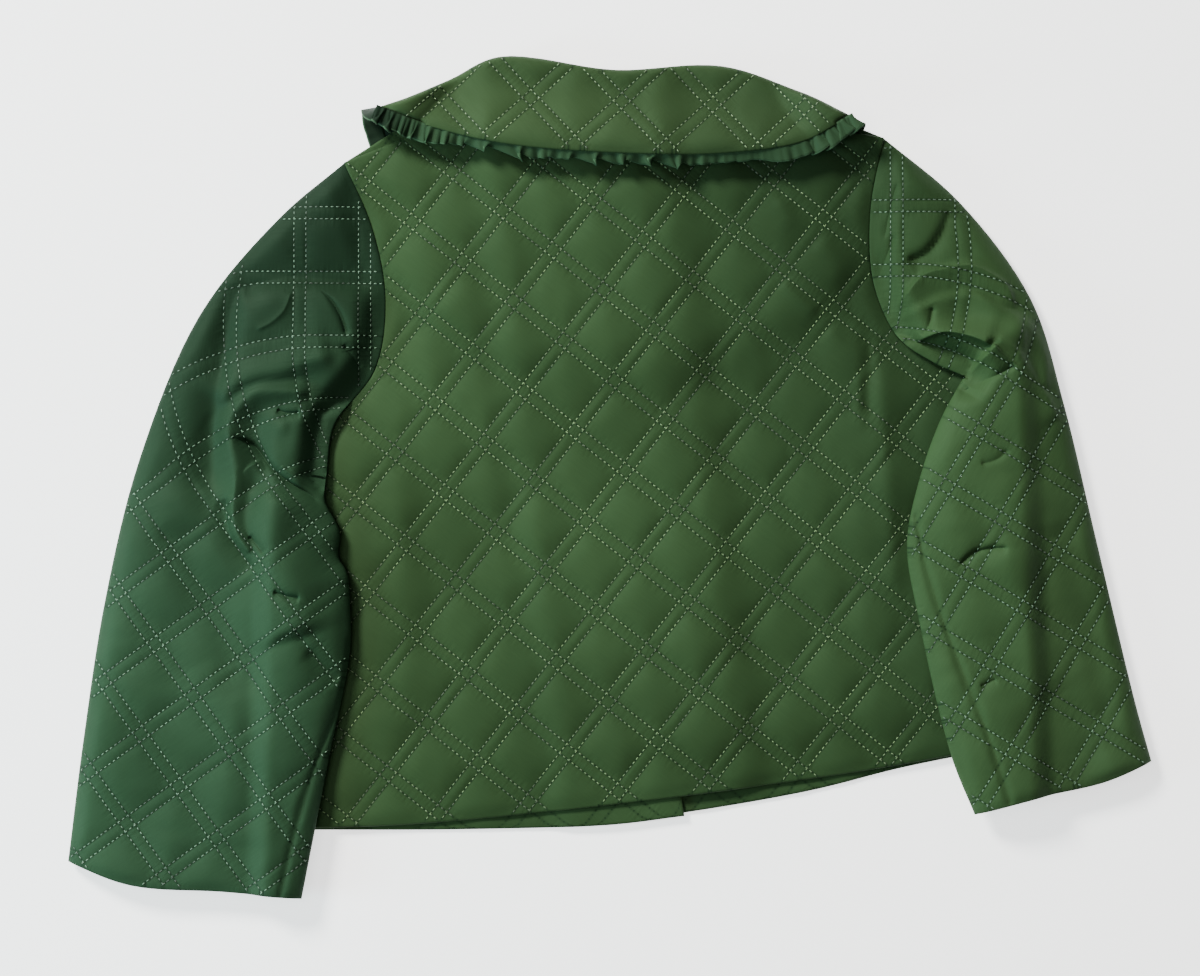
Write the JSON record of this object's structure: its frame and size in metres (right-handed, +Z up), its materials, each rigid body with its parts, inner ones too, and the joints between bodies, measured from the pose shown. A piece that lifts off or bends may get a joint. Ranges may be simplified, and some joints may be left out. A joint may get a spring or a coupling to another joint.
{
  "type": "quilted jacket",
  "caption": "Cropped quilted jacket with a wide round collar edged by a gathered ruffle, laid flat face down with its sleeves bent beside the body.",
  "frame": {"origin": "centre of the part's box, on the surface that the jacket lies on", "axes": "+Y up the jacket's centre back towards the collar, +X towards the wearer's right sleeve, +Z up from the surface to the back's outer side"},
  "size_m": [0.814, 0.6064, 0.0338],
  "materials": {
    "body_cloth": "matt-lustre quilted nylon taffeta, mid green",
    "sleeve_cloth": "matt-lustre quilted nylon taffeta, mid green",
    "collar_cloth": "matt-lustre quilted nylon taffeta, mid green"
  },
  "bodies": {
    "root": {"front_right": "body_cloth", "front_left": "body_cloth", "back": "body_cloth", "sleeve_left": "sleeve_cloth", "sleeve_right": "sleeve_cloth", "collar": "collar_cloth", "ruffle": "collar_cloth"}
  },
  "joints": []
}
